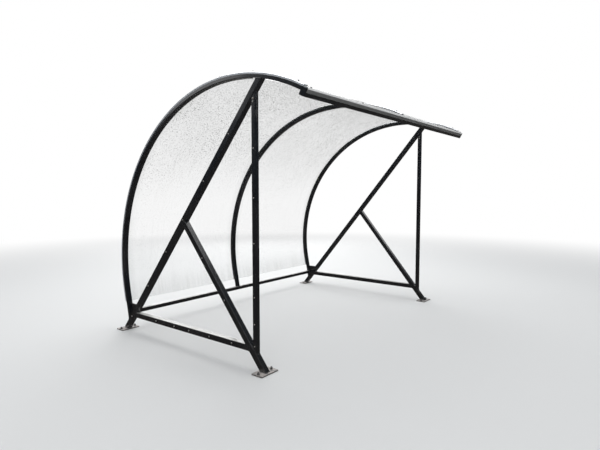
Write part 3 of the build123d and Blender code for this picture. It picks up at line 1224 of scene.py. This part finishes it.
@dataclass
class Welds(Addition):
    """Fillet welds where the tubes meet each other, the plates and the beam."""

    radius: float = 0.0030
    step: float = 0.0035
    sides: int = 6
    ripple: float = 0.16
    ripple_turn: float = 2.1
    unevenness: float = 0.08
    crease: float = 60.0
    corner_step: int = 18
    corner_signs: Sequence[tuple[int, int]] = ((1, 1), (-1, 1), (-1, -1), (1, -1))
    seed: int = 21

    def outline(
        self, at: Vector, along: Vector, size: tuple[float, float], meet: Callable[[Vector], float]
    ) -> list[Vector]:
        """Return the line in which a tube's skin meets a face.

        Args:
            at: A point on the tube's centre line.
            along: The tube's direction.
            size: The tube's width along the shelter (across it for the rail) and its depth.
            meet: Gives the distance along the tube from a skin point to the face.

        Returns:
            The closed line's points.
        """
        corner = self.lines.tube_corner
        side = BACK if abs(along.x) > abs(along.z) else ALONG
        up = along.cross(side).normalized()
        ring = []
        for quarter, (cx, cy) in enumerate(self.corner_signs):
            for turn in range(0, QUARTER_TURN + 1, self.corner_step):
                a = math.radians(quarter * QUARTER_TURN + turn)
                u = cx * (size[0] / 2 - corner) + corner * math.cos(a)
                v = cy * (size[1] / 2 - corner) + corner * math.sin(a)
                ring.append(at + side * u + up * v)
        return [p + along * meet(p) for p in ring]

    def bead(
        self, solid: Solid, line: Sequence[Vector], jitter: random.Random, closed: bool = True
    ) -> None:
        """Add a rippled bead along a line.

        Args:
            solid: The mesh that takes the bead.
            line: The line's points.
            jitter: Source of the small changes in size.
            closed: True joins the line's end to its start.
        """
        ends = zip(line, [*line[1:], line[0]] if closed else line[1:])
        spaced: list[Vector] = []
        for a, b in ends:
            parts = max(1, round((b - a).length / self.step))
            spaced += [a.lerp(b, k / parts) for k in range(parts)]
        centre = sum(spaced, Vector()) / len(spaced)
        section = round_points(self.sides, 1.0)
        rings = []
        total = len(spaced)
        for i, point in enumerate(spaced):
            after = spaced[(i + 1) % total if closed else min(i + 1, total - 1)]
            before = spaced[i - 1 if closed else max(i - 1, 0)]
            ahead = (after - before).normalized()
            out = point - centre if closed else ALONG
            out = (out - ahead * out.dot(ahead)).normalized()
            other = ahead.cross(out)
            swell = self.ripple * math.sin(i * self.ripple_turn)
            size = self.radius * (1.0 + swell + jitter.uniform(-self.unevenness, self.unevenness))
            rings.append([point + (out * s.x + other * s.y) * size for s in section])
        solid.run(rings, closed=closed)

    def build(self) -> None:
        """Build the welds of both end frames and of the rail and the beam."""
        jitter = random.Random(self.seed)
        material = self.paints.get(Finish.PAINT)
        for place in END_FRAMES:
            welds = Solid()
            for line in self.end_frame(place.value):
                self.bead(welds, line, jitter)
            for line in self.gusset(place.value):
                self.bead(welds, line, jitter, closed=False)
            welds.make(f"{place.word}_frame_welds", material, self.crease)
        welds = Solid()
        for line in self.cross_members():
            self.bead(welds, line, jitter)
        welds.make("rail_and_beam_welds", material, self.crease)

    @staticmethod
    def to_plane(along: Vector, point: Vector, normal: Vector) -> Callable[[Vector], float]:
        """Return a measure of the distance to a plane, along a tube.

        Args:
            along: The tube's direction.
            point: A point on the plane.
            normal: The plane's normal.

        Returns:
            The measure.
        """
        return lambda p: (point - p).dot(normal) / along.dot(normal)

    def to_hoop(self, along: Vector) -> Callable[[Vector], float]:
        """Return a measure of the distance to the hoop's inner face, along a tube.

        Args:
            along: The tube's direction.

        Returns:
            The measure.
        """
        lines = self.lines
        inner = lines.bend_radius - lines.hoop_depth / 2

        def measure(p: Vector) -> float:
            """Return the distance to the face.

            Args:
                p: A point on the tube's skin.

            Returns:
                The distance.
            """
            reach = Vector((0, p.y - lines.bend_y, p.z - lines.bend_z))
            ahead = reach.dot(along)
            return -ahead + math.sqrt(ahead**2 - reach.length_squared + inner**2)

        return measure

    def end_frame(self, x: float) -> list[list[Vector]]:
        """Return the closed weld lines of an end frame.

        Args:
            x: Place of the frame along the shelter.

        Returns:
            The lines, each as its points.
        """
        lines, outline, to_plane = self.lines, self.outline, self.to_plane
        half = lines.frame_tube / 2
        frame, light = (lines.frame_tube,) * 2, (lines.light_tube,) * 2
        wide = (lines.hoop_width, lines.hoop_depth)
        up_brace, up_leg = lines.up_brace(), lines.up_leg()
        under_brace = Vector((0, -up_brace.z, up_brace.y))
        over_leg = Vector((0, -up_leg.z, up_leg.y))
        brace_foot, leg_foot = lines.on_brace(x, 0.0), lines.on_leg(x, 0.0)
        brace_face, brace_top = brace_foot + under_brace * half, brace_foot - under_brace * half
        leg_face, leg_under = leg_foot + over_leg * half, leg_foot - over_leg * half
        post = Vector((x, lines.post_y, 1.0))
        tie = Vector((x, lines.middle_y, lines.tie_z))
        hoop = lines.on_hoop_leg(x, 0.0, 0.0)
        up_hoop = (lines.on_hoop_leg(x, 0.0, 1.0) - hoop).normalized()
        heel = brace_foot.y + lines.brace_heel
        foot = outline(brace_foot, up_brace, frame, to_plane(up_brace, brace_foot, UP))
        return [
            outline(leg_foot, up_leg, frame, to_plane(up_leg, brace_face, under_brace)),
            outline(post, UP, light, to_plane(UP, brace_face, under_brace)),
            outline(post, UP, light, to_plane(UP, leg_face, over_leg)),
            outline(tie, BACK, frame, to_plane(BACK, brace_face, under_brace)),
            outline(tie, BACK, frame, to_plane(BACK, leg_under, over_leg)),
            outline(lines.on_brace(x, 1.0), up_brace, frame, self.to_hoop(up_brace)),
            outline(leg_foot, up_leg, frame, to_plane(up_leg, leg_foot, UP)),
            [Vector((p.x, min(p.y, heel), p.z)) for p in foot],
            outline(hoop, up_hoop, wide, to_plane(up_hoop, brace_top, under_brace)),
        ]

    def gusset(self, x: float) -> list[list[Vector]]:
        """Return the open weld lines on both sides of a corner gusset.

        Args:
            x: Place of the gusset's end frame along the shelter.

        Returns:
            The lines, each as its points.
        """
        low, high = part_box("near_back_gusset" if x < 0 else "far_back_gusset")
        up_hoop = self.lines.on_hoop_leg(x, 0.0, 1.0) - self.lines.on_hoop_leg(x, 0.0, 0.0)
        found = []
        for side in (low[0], high[0]):
            corner = Vector((side, high[1] - (high[2] - low[2]) * up_hoop.y / up_hoop.z, low[2]))
            found += [[corner, Vector((side, y, high[2]))] for y in (high[1], low[1])]
        return found

    def cross_members(self) -> list[list[Vector]]:
        """Return the weld lines of the back rail, the middle hoop's foot and the beam.

        Returns:
            The lines, each as its points.
        """
        lines = self.lines
        rail_low, rail_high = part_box("back_rail")
        rail = Vector((0.0, middle(rail_low[1], rail_high[1]), middle(rail_low[2], rail_high[2])))
        out = direction(lines.tip_angle)
        ahead = Vector((0.0, -out.z, out.y))
        light, wide = (lines.light_tube,) * 2, (lines.hoop_width, lines.hoop_depth)
        hoop = lines.on_hoop_leg(0.0, 0.0, 0.0)
        up_hoop = (lines.on_hoop_leg(0.0, 0.0, 1.0) - hoop).normalized()
        rail_top = self.to_plane(up_hoop, UP * rail_high[2], UP)
        tips = [lines.on_bend(place.value, lines.bend_radius, lines.tip_angle) for place in Frames]
        return [
            self.outline(rail, ALONG, light, lambda p: rail_low[0] - p.x),
            self.outline(rail, ALONG, light, lambda p: rail_high[0] - p.x),
            self.outline(hoop, up_hoop, wide, rail_top),
            *(self.outline(tip, ahead, wide, lambda p: 0.0) for tip in tips),
        ]


@dataclass(frozen=True)
class Lamp:
    """A soft rectangular lamp."""

    name: str
    at: Triple
    size: tuple[float, float]
    watts: float
    mirrored: bool = True

    def hang(self, aim: Vector) -> None:
        """Hang the lamp.

        Args:
            aim: The point that it shines at.
        """
        data = bpy.data.lights.new(self.name, "AREA")
        data.shape = "RECTANGLE"
        data.size, data.size_y = self.size
        data.energy = self.watts
        lamp = bpy.data.objects.new(self.name, data)
        lamp.location = self.at
        lamp.visible_glossy = self.mirrored
        lamp.rotation_mode = "QUATERNION"
        lamp.rotation_quaternion = (aim - Vector(self.at)).to_track_quat("-Z", "Y")
        bpy.context.scene.collection.objects.link(lamp)


@dataclass
class Studio(Addition):
    """Pale floor, white surroundings, soft lamps, and the camera at the photograph's angle.

    In gloss, two dark cards stand before the white backdrop, so that the black paint stays
    black: a tall one, and a low one towards the open side.
    """

    stand: Triple = (-4.0322, -3.2799, 1.387)
    turned_right: float = 51.85
    tipped_down: float = 4.12
    rolled: float = -0.02
    focal_pixels: float = 457.6
    frame_pixels: float = 600.0
    sensor: float = 36.0
    far_clip: float = 200.0
    floor_size: float = 40.0
    floor_gap: float = 0.0008
    soft_light: Colour = (0.577, 0.595, 0.620)
    backdrop: Colour = WHITE
    lower_card: Colour = (0.055, 0.050, 0.045)
    upper_card: Colour = (0.030, 0.034, 0.040)
    card_change: Span = Span(-0.02, 0.02)
    card_edge: Span = Span(-0.015, 0.015)
    open_side: tuple[float, float] = (0.5, 0.9)
    open_span: Span = Span(0.215, 0.30)
    low_card_top: float = 0.165
    tall_card_top: float = 0.72
    aim: Triple = (0.0, 0.0, 1.0)
    lamps: Sequence[Lamp] = (
        Lamp("top_lamp", (1.0, 1.5, 6.5), (6.0, 5.0), 260.0),
        Lamp("back_lamp", (5.5, 6.0, 3.6), (6.0, 3.0), 210.0),
        Lamp("front_lamp", (-5.5, -4.6, 2.5), (5.0, 3.6), 70.0, mirrored=False),
    )

    def camera(self) -> None:
        """Set up the camera, placed from the middle of the shelter's feet."""
        angles = (self.turned_right, self.tipped_down, self.rolled)
        yaw, pitch, roll = (math.radians(angle) for angle in angles)
        level = math.cos(pitch)
        ahead = Vector((math.sin(yaw) * level, math.cos(yaw) * level, -math.sin(pitch)))
        right = ahead.cross(UP).normalized()
        up = right.cross(ahead)
        right, up = (
            right * math.cos(roll) + up * math.sin(roll),
            up * math.cos(roll) - right * math.sin(roll),
        )
        stand = Vector(self.stand) + BACK * self.lines.middle_y
        data = bpy.data.cameras.new("camera")
        data.sensor_fit = "HORIZONTAL"
        data.sensor_width = self.sensor
        data.lens = self.focal_pixels / self.frame_pixels * self.sensor
        data.clip_end = self.far_clip
        made = bpy.data.objects.new("camera", data)
        bpy.context.scene.collection.objects.link(made)
        made.matrix_world = Matrix(
            (*((right[i], up[i], -ahead[i], stand[i]) for i in range(3)), (0, 0, 0, 1))
        )
        bpy.context.scene.camera = made

    def floor(self) -> None:
        """Lay the floor, just under the base plates."""
        half = self.floor_size / 2
        corner_points = [(-half, -half, 0), (half, -half, 0), (half, half, 0), (-half, half, 0)]
        mesh = bpy.data.meshes.new("floor")
        mesh.from_pydata(corner_points, [], [(0, 1, 2, 3)])
        mesh.materials.append(self.paints.get(Finish.FLOOR))
        floor = bpy.data.objects.new("floor", mesh)
        floor.location.z = -self.floor_gap
        floor.visible_glossy = False
        bpy.context.scene.collection.objects.link(floor)

    def surroundings(self) -> None:
        """Set a soft pale world that is white to the camera and, above the cards, in gloss."""
        world = bpy.data.worlds.new("surroundings")
        bpy.context.scene.world = world
        world.use_nodes = True
        r = Recipe(None, world.node_tree)
        camera, through, gloss = (
            r.node("ShaderNodeLightPath", output=f"Is {name} Ray")
            for name in ("Camera", "Transmission", "Glossy")
        )
        way = r.node("ShaderNodeTexCoord", output="Generated")
        climb = r.axis(way, "Z")
        across = r.axis(way, "X") * self.open_side[0] + r.axis(way, "Y") * self.open_side[1]
        card_drop = across.ramp(self.open_span) * (self.low_card_top - self.tall_card_top)
        above_card = (climb - (self.tall_card_top + card_drop)).ramp(self.card_edge)
        card = r.blend(climb.ramp(self.card_change), self.lower_card, self.upper_card)
        mirrored = r.blend(above_card, card, self.backdrop)
        lighting = r.blend(gloss, self.soft_light, mirrored)
        seen = r.blend(camera.larger(through), lighting, self.backdrop)
        background = r.node("ShaderNodeBackground", {}, {"Color": seen, "Strength": 1.0})
        r.add("ShaderNodeOutputWorld", {}, {"Surface": background})

    def build(self) -> None:
        """Build the stage."""
        self.floor()
        self.surroundings()
        for lamp in self.lamps:
            lamp.hang(Vector(self.aim))
        self.camera()
        bpy.context.scene.view_settings.view_transform = "Standard"


ADDITIONS = (
    AnchorBolts, PanelScrews, TopBolts, StripScrews, AngleScrews, StripSeals, Welds, Studio
)


def main() -> None:
    """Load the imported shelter, dress it, add its fixings and set the stage."""
    logging.basicConfig(level=logging.INFO, format="%(message)s")
    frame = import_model()
    paints = Paintbox()
    lines = ShelterLines()
    CarriedNodes().dress(frame["nodes"], paints)
    for addition in ADDITIONS:
        addition(lines, paints).build()
        log.info("built %s", addition.__name__)


if __name__ == "__main__":
    main()
